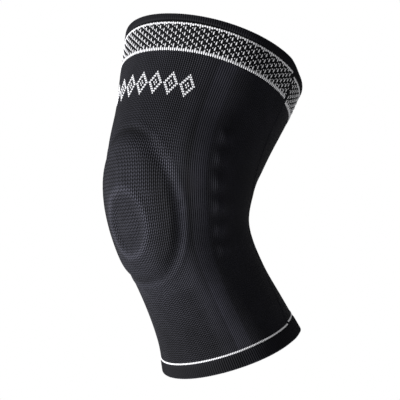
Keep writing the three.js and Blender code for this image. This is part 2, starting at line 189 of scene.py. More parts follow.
# How much each hem falls short of its height, as a share of it, at angles from the front
RIM_ANGLES = np.array([-180, -110, -45, 20, 98, 118, 140, 180])
THIGH_RIM_SHORT = np.array([0.5, 0.1, -0.17, 0.2, -0.05, 0.56, 0.68, 0.5])
CALF_RIM_SHORT = np.array([-0.15, 0, 0, -0.06, -0.1, -0.14, -0.3, -0.15])


def from_front(angle):
    """The same angles counted both ways from the front, -180 to 180."""
    return (np.asarray(angle) + FULL_TURN / 2) % FULL_TURN - FULL_TURN / 2


def rim_short(angle, values):
    """How much a hem falls short of its height at these angles."""
    i = np.clip(np.searchsorted(RIM_ANGLES, angle, side="left") - 1, 0, len(RIM_ANGLES) - 2)
    t = (angle - RIM_ANGLES[i]) / (RIM_ANGLES[i + 1] - RIM_ANGLES[i])
    return values[i] + (values[i + 1] - values[i]) * smooth_step(t)


def settled(angle, share):
    """The share where the fabric really lies: the hems are drawn in or out."""
    in_thigh_hem = np.maximum(share_of(THIGH_HEM_HEIGHT) - share, 0) * rim_short(angle, THIGH_RIM_SHORT)
    in_calf_hem = np.maximum(share - 1 + share_of(CALF_HEM_HEIGHT), 0) * rim_short(angle, CALF_RIM_SHORT)
    return share + in_thigh_hem - in_calf_hem


def place(angle, share, lift):
    """Points in space, as rows of x, y and z, from arrays of angle, share and lift."""
    angle, share, lift = np.broadcast_arrays(np.asarray(angle, float), share, lift)
    turn = np.radians(angle)
    share = settled(from_front(angle), share)
    step = np.clip(np.floor(share * LINE_STEPS).astype(int), 0, LINE_STEPS - 1)
    t = share * LINE_STEPS - step
    lean = lean_at(share)
    depth = np.where(np.cos(turn) > 0, radius_at(share, "front"), radius_at(share, "back"))
    across = (radius_at(share, "side") + lift) * np.sin(turn)
    forward = (depth + lift) * np.cos(turn)
    y = LINE_Y[step] + (LINE_Y[step + 1] - LINE_Y[step]) * t - forward * np.cos(lean)
    z = LINE_Z[step] + (LINE_Z[step + 1] - LINE_Z[step]) * t - forward * np.sin(lean)
    return np.stack([across, y, z], axis=-1)


# Relief of the knit over the gel ring and the stays

def angle_of(width):
    """The angle that a width takes up on the side of the knee."""
    return math.degrees(width / float(radius_at(PAD_AT, "side")))


STAY_HALF_ANGLE = angle_of(STAY_WIDTH / 2)
POCKET_HALF_ANGLE = angle_of(POCKET_WIDTH / 2)
BUMP_HALF_ANGLE = 0.8 * POCKET_HALF_ANGLE
BUMP_TOP_HALF_ANGLE = 0.4 * STAY_HALF_ANGLE
BUMPS_HIGHEST_AT = 0.52  # share of the length
BUMPS_SPREAD = 0.12
LOWEST_BUMP = 0.75  # share of the highest one's height

# Egg shapes: ellipses made squarer by an exponent over 2, or more pointed by one under 2, above and
# below their middle
PAD_SHAPE = {
    "middle": PAD_AT,
    "half_height": share_of(PAD_HEIGHT / 2),
    "half_angle": angle_of(PAD_WIDTH / 2),
    "upper": 1.9,
    "lower": 2.5,
}
WINDOW_SHAPE = {
    "middle": PAD_AT + share_of(WINDOW_DROP),
    "half_height": share_of(WINDOW_HEIGHT / 2),
    "half_angle": angle_of(WINDOW_WIDTH / 2),
    "upper": 2,
    "lower": 2,
}

# Where the relief lies, in multiples of the size of the egg shape or of the window
PAD_SLOPE_FROM = 1.04
PAD_SLOPE_WIDTH = 0.26
PAD_RIDGE_AT = 1.1
PAD_RIDGE_SPREAD = 0.05
WINDOW_SLOPE_FROM = 1
WINDOW_SLOPE_WIDTH = 0.3
WINDOW_BEAD_AT = 1.15
WINDOW_BEAD_SPREAD = 0.16
GEL_HOLE = 1.16  # of the window: the gel starts outside it
GEL_RIM = 0.78  # of the egg shape: the gel ends inside it
RIDGE_HEIGHT = 0.7 * MM  # the ridge round the egg shape isn't in the solids


def egg_measure(shape, angle, share):
    """0 at the middle of an egg shape and 1 on its outline."""
    u = np.abs(from_front(angle)) / shape["half_angle"]
    w = (share - shape["middle"]) / shape["half_height"]
    n = np.where(w < 0, shape["upper"], shape["lower"])
    return (u ** n + np.abs(w) ** n) ** (1 / n)


def egg_point(shape, direction, size):
    """Angle and share on an egg's outline, or at a multiple of its size."""
    c, s = np.cos(direction), np.sin(direction)
    n = np.where(s < 0, shape["upper"], shape["lower"])
    reach = size / (np.abs(c) ** n + np.abs(s) ** n) ** (1 / n)
    return shape["half_angle"] * reach * c, shape["middle"] + shape["half_height"] * reach * s


def ring_rise(angle, share):
    """How far the gel ring lifts the knit, less the dip in its window."""
    in_pad = (PAD_SLOPE_FROM - egg_measure(PAD_SHAPE, angle, share)) / PAD_SLOPE_WIDTH
    in_window = (WINDOW_SLOPE_FROM - egg_measure(WINDOW_SHAPE, angle, share)) / WINDOW_SLOPE_WIDTH
    return PAD_RISE * smooth_step(in_pad) - WINDOW_DIP * smooth_step(in_window)


def ring_trim(angle, share):
    """The bead round the window and the low ridge round the egg shape."""
    ridge = bell(egg_measure(PAD_SHAPE, angle, share) - PAD_RIDGE_AT, PAD_RIDGE_SPREAD)
    bead = bell(egg_measure(WINDOW_SHAPE, angle, share) - WINDOW_BEAD_AT, WINDOW_BEAD_SPREAD)
    return BEAD_HEIGHT * bead + RIDGE_HEIGHT * ridge


def stay_wave(share):
    """How far a stay's wave stands out, down to nothing at its ends."""
    along = (share - STAY_AT) * SLEEVE_LENGTH
    fade = smooth_step((STAY_LENGTH / 2 - np.abs(along)) / WAVE_PITCH)
    return WAVE_HEIGHT * (0.5 - 0.5 * np.cos(2 * math.pi * along / WAVE_PITCH)) * fade


def stay_relief(angle, share):
    """The bumps over a stay, a little lower and narrower in the knit than in the strip under it."""
    aside = np.abs(np.abs(from_front(angle)) - STAY_ANGLE)
    across = smooth_step((BUMP_HALF_ANGLE - aside) / (BUMP_HALF_ANGLE - BUMP_TOP_HALF_ANGLE))
    along = LOWEST_BUMP + (1 - LOWEST_BUMP) * bell(share - BUMPS_HIGHEST_AT, BUMPS_SPREAD)
    return stay_wave(share) * across * along


def fabric_relief(angle, share):
    """How far the knit stands out from the smooth tube."""
    return ring_rise(angle, share) + ring_trim(angle, share) + stay_relief(angle, share)


# Where each band starts and ends

THIGH_HEM_END = share_of(THIGH_HEM_HEIGHT)
UPPER_STRIPE_START = THIGH_HEM_END + share_of(JOIN_GAP)
UPPER_STRIPE_END = UPPER_STRIPE_START + share_of(UPPER_STRIPE_HEIGHT)
GRIP_BAND_START = UPPER_STRIPE_END + share_of(JOIN_GAP)
GRIP_BAND_END = GRIP_BAND_START + share_of(GRIP_BAND_HEIGHT)
LOWER_STRIPE_START = GRIP_BAND_END + share_of(JOIN_GAP)
LOWER_STRIPE_END = LOWER_STRIPE_START + share_of(LOWER_STRIPE_HEIGHT)
CALF_HEM_START = 1 - share_of(CALF_HEM_HEIGHT)
CALF_STRIPE_END = CALF_HEM_START - share_of(JOIN_GAP)
CALF_STRIPE_START = CALF_STRIPE_END - share_of(CALF_STRIPE_HEIGHT)

# The side seam, as angles down the sleeve, and how far the stripes jump where they cross it
SEAM_SHARES = [0, 0.05, 0.13, 0.3, 0.5, 0.76, 0.86, 0.95, 1]
SEAM_ANGLES = [108, 109.5, 112.5, 117, 121, 123.5, 118.5, 111.5, 110]
STRIPE_JOG = 2.4 * MM
CALF_JOG = -1 * MM


def seam_angle(share):
    """The seam's angle from the front at these shares of the length."""
    return np.interp(share, SEAM_SHARES, SEAM_ANGLES)


def jog_share(angle, share, jog):
    """How far a row of stitches lies below its place, as a share: a row starts low at the seam and has
    risen again half a turn on, because the tube is knitted in a spiral."""
    past = (np.asarray(angle) - seam_angle(share)) % FULL_TURN
    return share_of(jog) * np.clip(1 - past / (FULL_TURN / 2), 0, 1)


# How light the yarn is, with 1 as usual, with painted light and shade: painted highlights on the gel
# ring's edges, the side stripes, the shin and the stays' crests, and painted shade in the ring's creases,
# beside it, over the thigh and over the stays; the front of the calf hem is darker. Angles are degrees
# from the front, and places are shares of the length.

STRIPE_FROM = 53.5  # the smooth stripe down each side
STRIPE_TO = 66.5
STRIPE_FADE = 2
# Painted highlight on the smooth stripe down each side
STRIPE_PAINTED_HIGHLIGHT = 0.25
FRONT_ENDS = 70
FRONT_FADE = 20
# Painted shade over the front of the thigh
THIGH_PAINTED_SHADE = 0.38
THIGH_ENDS = 0.42
THIGH_FADE = 0.1
# Painted light over the front of the shin
SHIN_PAINTED_LIGHT = 0.5
SHIN_AT = 0.74
SHIN_SPREAD = 0.09
CALF_HEM_DARKER = 0.5
CALF_HEM_FADE = 0.005
# Painted highlights on the stays' crests, and painted shade over the stays
CREST_PAINTED_HIGHLIGHT = 0.4
STAY_PAINTED_SHADE = 0.1
STAY_TONE_ENDS = 7  # to each side of the stay's angle
STAY_TONE_FADE = 5
# Painted shade on the white yarn over the front
WHITE_PAINTED_SHADE = 0.36
WHITE_GREY_ENDS = 86
WHITE_GREY_FADE = 22

# Rings of painted light and shade over the gel ring: how much lighter, at which multiple of the egg
# shape's or the window's size, and how wide; where it is less than 0 it is painted shade
PAINTED_LIGHT_RINGS = {
    "bead": {"lighter": 0.8, "at": WINDOW_BEAD_AT, "spread": 0.13},
    "slope_foot": {"lighter": 0.9, "at": 1.0, "spread": 0.06},
    "slope_top": {"lighter": -0.4, "at": 0.75, "spread": 0.16},
    "ridge": {"lighter": 0.2, "at": PAD_RIDGE_AT, "spread": 0.05},
    "low_crease_shade": {"lighter": -0.25, "at": 0.98, "spread": 0.05},
    "top_crease_shade": {"lighter": -0.3, "at": 1.0, "spread": 0.06},
}

# The sides and the upper part of the egg shape, in multiples of its half width and half height
SIDES_FROM = 0.3
SIDES_RISE = 0.35
SIDES_END = 1.05
SIDES_FADE = 0.5
UPPER_FROM = -0.5
UPPER_RISE = 0.6
UPPER_END = 1.05
UPPER_FADE = 0.2
# Painted shade over the upper part of the egg shape
UPPER_PAINTED_SHADE = 0.12

# Painted shade in the hollow on each side of the egg shape, from just outside its ridge
HOLLOW_AT = 53
HOLLOW_SPREAD = 6
HOLLOW_HEIGHT = 1.1
HOLLOW_FROM = 1.14
HOLLOW_RISE = 0.06
HOLLOW_PAINTED_SHADE = 0.65


def painted_light_ring(name, size):
    """How much lighter the yarn is painted on one of the rings, at multiples of its shape's size."""
    ring = PAINTED_LIGHT_RINGS[name]
    return ring["lighter"] * bell(size - ring["at"], ring["spread"])


def pad_painted_light(angle, share):
    """Painted light and shade on the yarn over the gel ring and beside it, as how much lighter it is."""
    aside = np.abs(from_front(angle))
    pad = egg_measure(PAD_SHAPE, angle, share)
    window = egg_measure(WINDOW_SHAPE, angle, share)
    height = (PAD_SHAPE["middle"] - share) / PAD_SHAPE["half_height"]
    sides = smooth_step((aside / PAD_SHAPE["half_angle"] - SIDES_FROM) / SIDES_RISE)
    sides = sides * smooth_step((SIDES_END - np.abs(height)) / SIDES_FADE)
    upper = smooth_step((height - UPPER_FROM) / UPPER_RISE)
    # Painted highlight at the foot of the ring's slope and painted shade higher on it, on the sides
    slope = sides * (painted_light_ring("slope_foot", pad) + painted_light_ring("slope_top", pad))
    # Painted shade in the creases round the egg shape
    low_crease_shade = (1 - upper) * painted_light_ring("low_crease_shade", pad)
    top_crease_shade = upper * (1 - sides) * painted_light_ring("top_crease_shade", pad)
    # Painted shade over the upper part of the egg shape
    over_top_shade = UPPER_PAINTED_SHADE * upper * smooth_step((UPPER_END - pad) / UPPER_FADE)
    # Painted shade in the hollow beside the egg shape
    hollow_shade = HOLLOW_PAINTED_SHADE * bell(aside - HOLLOW_AT, HOLLOW_SPREAD) * bell(height, HOLLOW_HEIGHT)
    hollow_shade = hollow_shade * smooth_step((pad - HOLLOW_FROM) / HOLLOW_RISE)
    # Painted highlights on the window's bead, the slope and the ridge
    edges = painted_light_ring("bead", window) + slope + painted_light_ring("ridge", pad)
    return edges + low_crease_shade + top_crease_shade - over_top_shade - hollow_shade


def yarn_tone_and_painted_light(angle, share):
    """How light the black yarn is, with its painted light and shade."""
    aside = np.abs(from_front(angle))
    front = smooth_step((FRONT_ENDS - aside) / FRONT_FADE)
    # Painted shade over the front of the thigh
    thigh = THIGH_PAINTED_SHADE * smooth_step((THIGH_ENDS - share) / THIGH_FADE)
    # Painted light over the front of the shin
    shin = SHIN_PAINTED_LIGHT * front * bell(share - SHIN_AT, SHIN_SPREAD)
    hem = CALF_HEM_DARKER * front * smooth_step((share - CALF_HEM_START) / CALF_HEM_FADE)
    in_stripe = smooth_step(aside - STRIPE_FROM + 0.5) * smooth_step((STRIPE_TO - aside) / STRIPE_FADE)
    along = smooth_step((STAY_LENGTH / 2 - np.abs(share - STAY_AT) * SLEEVE_LENGTH) / WAVE_PITCH)
    over_stay = along * smooth_step((STAY_TONE_ENDS - np.abs(aside - STAY_ANGLE)) / STAY_TONE_FADE)
    # Painted highlight on each crest over a stay, and painted shade between the crests
    crest_light_and_shade = over_stay * (CREST_PAINTED_HIGHLIGHT * stay_wave(share) / WAVE_HEIGHT - STAY_PAINTED_SHADE)
    zone_light_and_shade = pad_painted_light(angle, share) - thigh * front + shin - hem
    # The smooth stripe gets a painted highlight
    return 1 + zone_light_and_shade + STRIPE_PAINTED_HIGHLIGHT * in_stripe + crest_light_and_shade


def white_tone_with_painted_shade(angle):
    """How light the white yarn is: painted shade makes it greyer over the front."""
    return 1 - WHITE_PAINTED_SHADE * smooth_step((WHITE_GREY_ENDS - np.abs(from_front(angle))) / WHITE_GREY_FADE)


# Meshes

def add_object(name, points, faces, uvs=None):
    """A smooth-shaded mesh object from arrays of points and of faces, which all have as many corners.
    uvs is the knit's map, with a row for each corner."""
    mesh = bpy.data.meshes.new(name)
    mesh.vertices.add(len(points))
    mesh.vertices.foreach_set("co", np.asarray(points, np.float32).ravel())
    corners = np.asarray(faces, np.int32)
    mesh.loops.add(corners.size)
    mesh.loops.foreach_set("vertex_index", corners.ravel())
    mesh.polygons.add(len(corners))
    sides = corners.shape[1]
    mesh.polygons.foreach_set("loop_start", np.arange(0, corners.size, sides, dtype=np.int32))
    if uvs is not None:
        layer = mesh.uv_layers.new(name="knit")
        layer.data.foreach_set("uv", np.asarray(uvs, np.float32).ravel())
    mesh.polygons.foreach_set("use_smooth", np.ones(len(corners), bool))
    mesh.update(calc_edges=True)
    mesh.validate()
    piece = bpy.data.objects.new(name, mesh)
    bpy.context.scene.collection.objects.link(piece)
    return piece


def grid_faces(rows, columns, close_rows):
    """Faces of a grid that comes back to its first column, and to its first row if close_rows."""
    count = rows if close_rows else rows - 1
    i, j = np.meshgrid(np.arange(count), np.arange(columns), indexing="ij")
    down, beside = (i + 1) % rows, (j + 1) % columns
    corners = [i * columns + j, down * columns + j, down * columns + beside, i * columns + beside]
    return np.stack(corners, axis=-1).reshape(-1, 4)


def set_tone(piece, tone_and_painted_light):
    """Keeps how light the yarn is, with its painted light and shade, at each point of the mesh."""
    layer = piece.data.attributes.new("tone_and_painted_light", "FLOAT", "POINT")
    layer.data.foreach_set("value", np.asarray(tone_and_painted_light, np.float32).ravel())


def fabric_ring(name, shares, lifts, columns, extra=None):
    """A closed ring of fabric. Its profile, as shares and lifts, runs down the outside and up the
    inside. extra gives more lift from the angles and lifts. The map gives the share of a turn and the
    share of the length."""
    shares, lifts = np.asarray(shares, float), np.asarray(lifts, float)
    angles = np.arange(columns) * FULL_TURN / columns - FULL_TURN / 2
    angle_grid, share_grid = np.meshgrid(angles, shares)
    lift_grid = lifts[:, None] + fabric_relief(angle_grid, share_grid)
    if extra is not None:
        lift_grid = lift_grid + extra(angle_grid, lifts[:, None])
    points = place(angle_grid, share_grid, lift_grid).reshape(-1, 3)
    faces = grid_faces(len(shares), columns, True)
    j = faces[:, 0] % columns
    i = faces[:, 0] // columns
    down = (i + 1) % len(shares)
    u = np.stack([j, j, j + 1, j + 1], axis=-1) / columns
    v = np.stack([shares[i], shares[down], shares[down], shares[i]], axis=-1)
    fabric = add_object(name, points, faces, np.stack([u, v], axis=-1).reshape(-1, 2))
    set_tone(fabric, yarn_tone_and_painted_light(angle_grid, share_grid))
    return fabric


EDGE_ROUNDING = 0.1 * MM


def knit_ring(name, start, end, outer_rows, inner_rows):
    """A ring of plain knit between two shares, with its corners rounded off."""
    outside = np.linspace(start, end, outer_rows)
    inside = np.linspace(end, start, inner_rows)
    lifts = np.concatenate([np.zeros(outer_rows), np.full(inner_rows, -KNIT_WALL)])
    lifts[[0, outer_rows - 1]] = -EDGE_ROUNDING
    lifts[[outer_rows, -1]] = -KNIT_WALL + EDGE_ROUNDING
    return fabric_ring(name, np.concatenate([outside, inside]), lifts, WALES)


# Stitches

def capsule(around, rings):
    """A rounded bead 1 wide, 1 long and 1 high, as points and triangles."""
    polar = np.linspace(0, math.pi, rings + 2)
    turn = np.arange(around) * 2 * math.pi / around
    p, t = np.meshgrid(polar[1:-1], turn, indexing="ij")
    body = np.stack([np.sin(p) * np.cos(t), np.cos(p), np.sin(p) * np.sin(t)], axis=-1) / 2
    points = np.concatenate([body.reshape(-1, 3), [[0, 0.5, 0], [0, -0.5, 0]]])
    quads = grid_faces(rings, around, False)
    j = np.arange(around)
    beside = (j + 1) % around
    first, last = rings * around, rings * around + 1
    low = (rings - 1) * around
    top = np.stack([np.full(around, first), j, beside], axis=-1)
    bottom = np.stack([np.full(around, last), low + beside, low + j], axis=-1)
    triangles = np.concatenate([quads[:, [0, 1, 2]], quads[:, [0, 2, 3]], top, bottom])
    return points, triangles


def stitches(name, angle, share, size, tilt=0.0, bead=(8, 3)):
    """Many small beads lying on the knit. size has a row of width, length and height for each, and tilt
    turns its lower end, in degrees, towards smaller angles. bead says how many points a bead has round
    it and how many rings of them."""
    angle, share = np.atleast_1d(angle).astype(float), np.atleast_1d(share).astype(float)
    size = np.broadcast_to(np.asarray(size, float), (len(angle), 3))
    lift = fabric_relief(angle, share)
    tiny = 0.002  # step for the slopes, as a share of a turn or of the length
    centre = place(angle, share, lift)
    around = place(angle + tiny * FULL_TURN, share, lift) - place(angle - tiny * FULL_TURN, share, lift)
    down = place(angle, share + tiny, lift) - place(angle, share - tiny, lift)
    around = around / np.linalg.norm(around, axis=1, keepdims=True)
    out = np.cross(around, -down)
    out = out / np.linalg.norm(out, axis=1, keepdims=True)
    up = np.cross(out, around)
    turn = np.radians(np.broadcast_to(tilt, len(angle)))[:, None]
    across_axis = around * np.cos(turn) - up * np.sin(turn)
    along_axis = around * np.sin(turn) + up * np.cos(turn)
    points, triangles = capsule(*bead)
    local = points[None] * size[:, None]
    placed = centre[:, None] + local[..., :1] * across_axis[:, None]
    placed = placed + local[..., 1:2] * along_axis[:, None]
    placed = placed + local[..., 2:] * out[:, None]
    offsets = np.arange(len(angle))[:, None, None] * len(points)
    piece = add_object(name, placed.reshape(-1, 3), (triangles[None] + offsets).reshape(-1, 3))
    # The white yarn's painted shade at each point
    set_tone(piece, np.repeat(white_tone_with_painted_shade(angle), len(points)))
    return piece


# Materials

class Shader:
    """Short calls for the nodes of one material."""

    def __init__(self, name):
        self.material = bpy.data.materials.new(name)
        self.material.use_nodes = True
        self.tree = self.material.node_tree
        self.surface = self.tree.nodes["Principled BSDF"]

    def add(self, kind, **settings):
        """A new node with these settings."""
        node = self.tree.nodes.new(kind)
        for key, value in settings.items():
            setattr(node, key, value)
        return node

    def put(self, value, socket):
        """Links an output to a socket, or sets the socket to a number."""
        if isinstance(value, bpy.types.NodeSocket):
            self.tree.links.new(value, socket)
        else:
            socket.default_value = value

    def math(self, operation, a, b=0.0, c=0.0):
        """The result of a sum on up to three values."""
        node = self.add("ShaderNodeMath", operation=operation)
        for value, socket in zip((a, b, c), node.inputs):
            self.put(value, socket)
        return node.outputs[0]

    def remap(self, value, low, high, to_low=0.0, to_high=1.0):
        """A smooth change from to_low to to_high while the value goes from low to high."""
        node = self.add("ShaderNodeMapRange", interpolation_type="SMOOTHSTEP")
        for item, socket in zip((value, low, high, to_low, to_high), node.inputs):
            self.put(item, socket)
        return node.outputs[0]

    def mix(self, factor, a, b):
        """Colour a where the factor is 0 and colour b where it is 1."""
        node = self.add("ShaderNodeMix", data_type="RGBA")
        self.put(factor, node.inputs["Factor"])
        self.put(a, node.inputs[6])
        self.put(b, node.inputs[7])
        return node.outputs[2]

    def knit_map(self):
        """The share of a turn and the share of the length."""
        uv = self.add("ShaderNodeUVMap", uv_map="knit").outputs[0]
        parts = self.add("ShaderNodeSeparateXYZ")
        self.put(uv, parts.inputs[0])
        return parts.outputs[0], parts.outputs[1]

    def toned(self, colour):
        """The colour times how light the yarn is at the point, with its painted light and shade."""
        node = self.add("ShaderNodeVectorMath", operation="SCALE")
        tone_and_painted_light = self.add("ShaderNodeAttribute", attribute_name="tone_and_painted_light")
        self.put(colour, node.inputs[0])
        self.put(tone_and_painted_light.outputs["Fac"], node.inputs["Scale"])
        return node.outputs[0]

    def noise(self, scale):
        """Noise fixed to the piece, with about scale grains to a metre."""
        coordinates = self.add("ShaderNodeTexCoord")
        node = self.add("ShaderNodeTexNoise")
        self.put(coordinates.outputs["Object"], node.inputs["Vector"])
        node.inputs["Scale"].default_value = scale
        node.inputs["Detail"].default_value = 2.0
        return node.outputs[0]

    def bump(self, height, distance, strength=1.0):
        """Relief in the shading, for which distance is the depth at a height of 1."""
        node = self.add("ShaderNodeBump")
        self.put(height, node.inputs["Height"])
        node.inputs["Distance"].default_value = distance
        node.inputs["Strength"].default_value = strength
        self.put(node.outputs[0], self.surface.inputs["Normal"])


BLACK_YARN = (0.0102, 0.0101, 0.0142, 1)
BLACK_YARN_OPEN_AND_RIM_HIGHLIGHT = (0.0265, 0.0266, 0.0345, 1)
BLACK_HOLE = (0.0008, 0.0008, 0.0011, 1)
WHITE_YARN = (0.64, 0.64, 0.66, 1)
WHITE_YARN_SHADE = (0.46, 0.46, 0.49, 1)
HEM_YARN = (0.0068, 0.0068, 0.0094, 1)
BAND_YARN = (0.006, 0.0062, 0.008, 1)
GEL_DARK = (0.035, 0.036, 0.042, 1)
GEL_LIGHT = (0.05, 0.051, 0.058, 1)
STAY_DARK = (0.06, 0.06, 0.066, 1)
STAY_LIGHT = (0.075, 0.075, 0.082, 1)
PALE_FLOOR = (0.82, 0.82, 0.81, 1)

# The knit's zones, as shares of a turn from the front and of the length
PANEL_EDGE = STRIPE_FROM / FULL_TURN  # the open knit ends here and the smooth stripe begins
PANEL_FADE = 0.05
STRIPE_SPAN = 0.035
STRIPE_BLUR = 0.001
LINED_FROM = 0.68
LINED_TO = 0.76
# How far the painted highlight along a hem's rolled edge reaches, as shares of the length
RIM_HIGHLIGHT_TO = 0.003
RIM_HIGHLIGHT_GONE = 0.006

# A stitch: how far its hole and the gap beside its column reach, in half stitches, and how dark or
# high they are, with 1 as the darkest and as the depth of the knit
HOLE_CORE = 0.5
HOLE_RIM = 1.05
HOLE_DEPTH = 0.35
GAP_RIM = 0.55
GAP_DARKNESS = 0.8
LOOP_HEIGHT = 0.1
COLUMN_HEIGHT = 0.6
LINED_NARROWING = 0.6  # how much the columns draw together in the lined knit
HOLES_CLOSED = 0.65  # how much of the holes is gone in the closed knit


def knit_grid(s, turn, along, columns, courses, lined):
    """Stitches in columns and courses: how high each stitch stands at a point, and how deep the point
    lies in the hole between stitches. Where lined is 1 the holes run together into lines."""
    across = s.math("MULTIPLY", turn, float(columns))
    column = s.math("MULTIPLY", s.math("PINGPONG", across, 0.5), 2.0)
    stagger = s.math("MULTIPLY", s.math("PINGPONG", across, 1.0), 0.5)
    course = s.math("MULTIPLY_ADD", along, float(courses), stagger)
    loop = s.math("MULTIPLY", s.math("PINGPONG", course, 0.5), 2.0)
    width = s.math("MULTIPLY", column, s.math("MULTIPLY_ADD", lined, -LINED_NARROWING, 1.0))
    square = s.math("ADD", s.math("MULTIPLY", width, width), s.math("MULTIPLY", loop, loop))
    hole = s.remap(s.math("SQRT", square), HOLE_CORE, HOLE_RIM, 1.0, 0.0)
    between_columns = s.remap(width, 0.0, GAP_RIM, GAP_DARKNESS, 0.0)
    upright = s.math("MULTIPLY", between_columns, s.math("SUBTRACT", 1.0, lined))
    height = s.math("MULTIPLY_ADD", loop, LOOP_HEIGHT, s.math("MULTIPLY", column, COLUMN_HEIGHT))
    return height, s.math("MAXIMUM", hole, upright)


def set_knit(s, yarn, height, hole, depth):
    """Black yarn with dark holes, and relief of this depth."""
    patchy = s.remap(s.noise(60.0), 0.3, 0.7, 0.0, 0.25)
    worn = s.mix(patchy, yarn, BLACK_HOLE)
    s.put(s.toned(s.mix(hole, worn, BLACK_HOLE)), s.surface.inputs["Base Color"])
    s.surface.inputs["Roughness"].default_value = 0.7
    s.surface.inputs["Specular IOR Level"].default_value = 0.06
    s.bump(s.math("MULTIPLY_ADD", hole, -HOLE_DEPTH, height), depth)
    return s.material


def tube_knit():
    """The tube's knit: open and holey over the front, lined over the calf, and closed on the sides and
    back, with a smooth stripe down each side of the kneecap panel, made lighter by a painted highlight."""
    s = Shader("tube_knit")
    turn, along = s.knit_map()
    aside = s.math("ABSOLUTE", s.math("SUBTRACT", turn, 0.5))
    closed = s.remap(aside, PANEL_EDGE - PANEL_FADE, PANEL_EDGE)
    lined = s.remap(along, LINED_FROM, LINED_TO)
    height, hole = knit_grid(s, turn, along, WALES, COURSES, lined)
    stripe_end = PANEL_EDGE + STRIPE_SPAN
    past_start = s.remap(aside, PANEL_EDGE - STRIPE_BLUR, PANEL_EDGE + STRIPE_BLUR)
    before_end = s.remap(aside, stripe_end - STRIPE_BLUR, stripe_end + STRIPE_BLUR, 1.0, 0.0)
    stripe = s.math("MULTIPLY", past_start, before_end)
    holes = s.math("MULTIPLY", hole, s.math("MULTIPLY_ADD", closed, -HOLES_CLOSED, 1.0))
    holes = s.math("MULTIPLY", holes, s.math("SUBTRACT", 1.0, stripe))
    yarn = s.mix(closed, BLACK_YARN_OPEN_AND_RIM_HIGHLIGHT, BLACK_YARN)
    return set_knit(s, yarn, height, holes, 1.1 * MM)


def black_knit(name, columns, courses, holes, depth, yarn):
    """Plain knit in columns and courses."""
    s = Shader(name)
    turn, along = s.knit_map()
    height, hole = knit_grid(s, turn, along, columns, courses, 0.0)
    return set_knit(s, yarn, height, s.math("MULTIPLY", hole, holes), depth)


def hem_knit(name, columns, rim):
    """The hem's ribs, a little lighter along the rolled edge, where a highlight is painted."""
    s = Shader(name)
    turn, along = s.knit_map()
    height, hole = knit_grid(s, turn, along, columns, HEM_COURSES, 0.0)
    from_rim = s.math("ABSOLUTE", s.math("SUBTRACT", along, rim))
    # Painted highlight along the rolled edge, in the open knit's lighter yarn
    yarn = s.mix(s.remap(from_rim, RIM_HIGHLIGHT_TO, RIM_HIGHLIGHT_GONE), BLACK_YARN_OPEN_AND_RIM_HIGHLIGHT, HEM_YARN)
    return set_knit(s, yarn, height, s.math("MULTIPLY", hole, 0.5), 0.2 * MM)


def white_yarn():
    """The white yarn of the stripes, the grip band and the lozenges."""
    s = Shader("white_knit")
    fibre = s.remap(s.noise(1800.0), 0.25, 0.75, 0.0, 0.35)
    s.put(s.toned(s.mix(fibre, WHITE_YARN, WHITE_YARN_SHADE)), s.surface.inputs["Base Color"])
    s.surface.inputs["Roughness"].default_value = 0.8
    s.surface.inputs["Specular IOR Level"].default_value = 0.2
    s.bump(s.noise(2500.0), 0.15 * MM, 0.6)
    return s.material


def soft_gel():
    """The dark, slightly cloudy gel of the ring."""
    s = Shader("gel")
    cloudy = s.remap(s.noise(90.0), 0.3, 0.7, 0.0, 1.0)
    s.put(s.mix(cloudy, GEL_DARK, GEL_LIGHT), s.surface.inputs["Base Color"])
    s.surface.inputs["Roughness"].default_value = 0.42
    s.surface.inputs["Subsurface Weight"].default_value = 0.05
    s.bump(s.noise(700.0), 0.1 * MM, 0.4)
    return s.material


def stay_plastic():
    """The grey plastic of the stays."""
    s = Shader("stay_plastic")
    grain = s.remap(s.noise(1200.0), 0.3, 0.7, 0.0, 1.0)
    s.put(s.mix(grain, STAY_DARK, STAY_LIGHT), s.surface.inputs["Base Color"])
    s.surface.inputs["Roughness"].default_value = 0.45
    s.bump(s.noise(900.0), 0.05 * MM, 0.3)
    return s.material


def pocket_knit():
    """The finer plain knit of the pockets."""
    s = Shader("pocket_knit")
    fine = s.noise(900.0)
    s.put(s.mix(s.remap(fine, 0.3, 0.7), BLACK_YARN_OPEN_AND_RIM_HIGHLIGHT, BLACK_YARN), s.surface.inputs["Base Color"])
    s.surface.inputs["Roughness"].default_value = 0.85
    s.bump(fine, 0.4 * MM, 0.8)
    return s.material


def seam_yarn():
    """The black sewing yarn of the side seam."""
    s = Shader("seam_yarn")
    fibre = s.noise(1500.0)
    s.put(s.mix(s.remap(fibre, 0.3, 0.7), BLACK_YARN, BAND_YARN), s.surface.inputs["Base Color"])
    s.surface.inputs["Roughness"].default_value = 0.75
    s.surface.inputs["Specular IOR Level"].default_value = 0.06
    s.bump(fibre, 0.15 * MM, 0.6)
    return s.material


WHITE = white_yarn()
GEL = soft_gel()
POCKET = pocket_knit()
SEAM_YARN = seam_yarn()
STAY = stay_plastic()


def finish(piece, material, slot, *nodes):
    """Gives a piece its material, and says which solids it stands for. slot is not used."""
    piece.data.materials.clear()
    piece.data.materials.append(material)
    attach(piece, "root")
    if nodes:
        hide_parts(*nodes)


# Pieces

def make_tube():
    """The knitted tube from the grip band's lower stripe to the calf stripe."""
    start = LOWER_STRIPE_END + share_of(JOIN_GAP) / 2
    end = CALF_HEM_START - share_of(JOIN_GAP) / 2
    tube = knit_ring("knit_tube", start, end, outer_rows=220, inner_rows=60)
    finish(tube, tube_knit(), "black_knit",
           "thigh_tube", "kneecap_panel", "knee_back_panel", "calf_tube")


